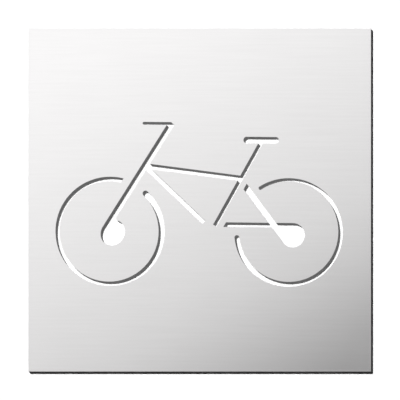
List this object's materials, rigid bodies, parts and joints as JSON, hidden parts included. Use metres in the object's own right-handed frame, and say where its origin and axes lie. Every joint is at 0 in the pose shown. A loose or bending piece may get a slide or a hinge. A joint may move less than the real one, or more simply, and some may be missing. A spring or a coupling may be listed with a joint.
{
  "type": "bicycle stencil",
  "caption": "Flat, nearly square composite panel with a bicycle symbol cut through it, laid on the ground as a mask for painting cycle path and parking markings.",
  "frame": {"origin": "middle of the panel's back, on the ground", "axes": "+X to the right and +Y up as the bicycle is seen, +Z out of the face"},
  "size_m": [0.5992, 0.6, 0.003],
  "materials": {
    "face_aluminium": "satin, brushed",
    "core_polyethylene": "cut edge, matte",
    "back_aluminium": "mill finish"
  },
  "bodies": {
    "root": {"face_sheet": "face_aluminium", "core_sheet": "core_polyethylene", "back_sheet": "back_aluminium"}
  },
  "joints": []
}
